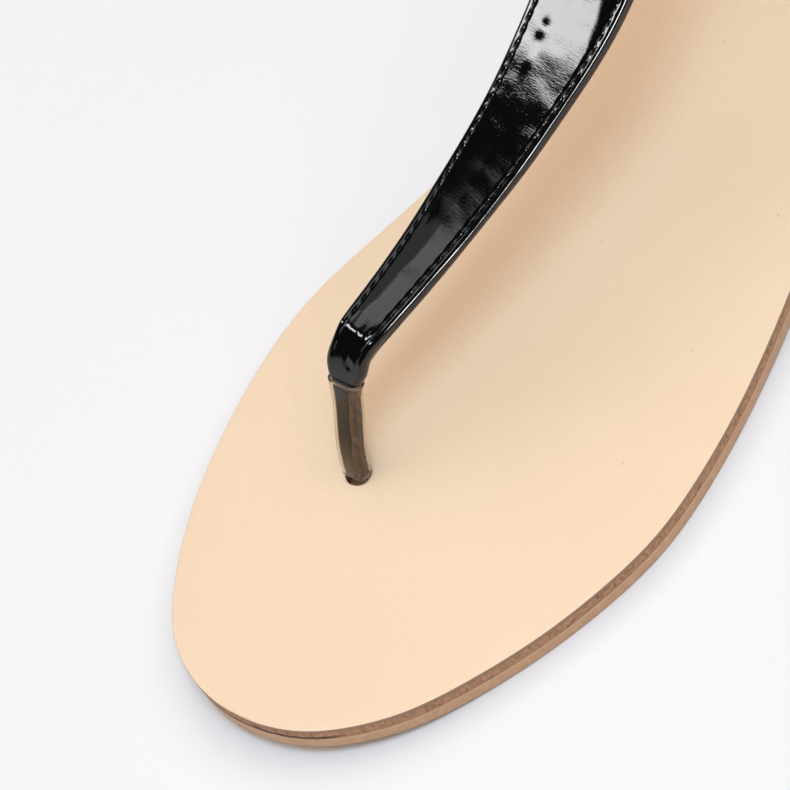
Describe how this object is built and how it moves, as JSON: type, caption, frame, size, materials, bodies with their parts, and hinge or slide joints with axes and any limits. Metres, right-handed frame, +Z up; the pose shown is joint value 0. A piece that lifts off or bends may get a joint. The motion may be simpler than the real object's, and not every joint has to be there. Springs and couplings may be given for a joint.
{
  "type": "flat sandal",
  "caption": "Flat thong sandal for the left foot: stacked leather sole, black patent T-strap with a clear toe sleeve, heel counter and buckled ankle strap.",
  "frame": {"origin": "middle of the sole's box on the floor it stands on", "axes": "+Z up, -Y towards the toe, +X towards the little toe's side"},
  "size_m": [0.086, 0.252, 0.0968],
  "materials": {
    "outsole_leather": "smooth tan leather with a dyed, burnished edge",
    "midsole_board": "brown fibrous board with light specks at the cut edge",
    "insole_leather": "smooth beige leather, fine grain, brown-stained edge",
    "heel_rubber": "matte tan rubber",
    "black_patent": "glossy black patent with black stitching and a brown lining",
    "clear_sleeve": "clear flexible tube",
    "buckle_metal": "smooth nickel plate"
  },
  "bodies": {
    "root": {"outsole": "outsole_leather", "midsole": "midsole_board", "insole": "insole_leather", "heel_lift": "heel_rubber", "upper": "black_patent", "toe_sleeve": "clear_sleeve", "buckle_frame": "buckle_metal", "buckle_prong": "buckle_metal", "strap_keeper": "black_patent"}
  },
  "joints": []
}
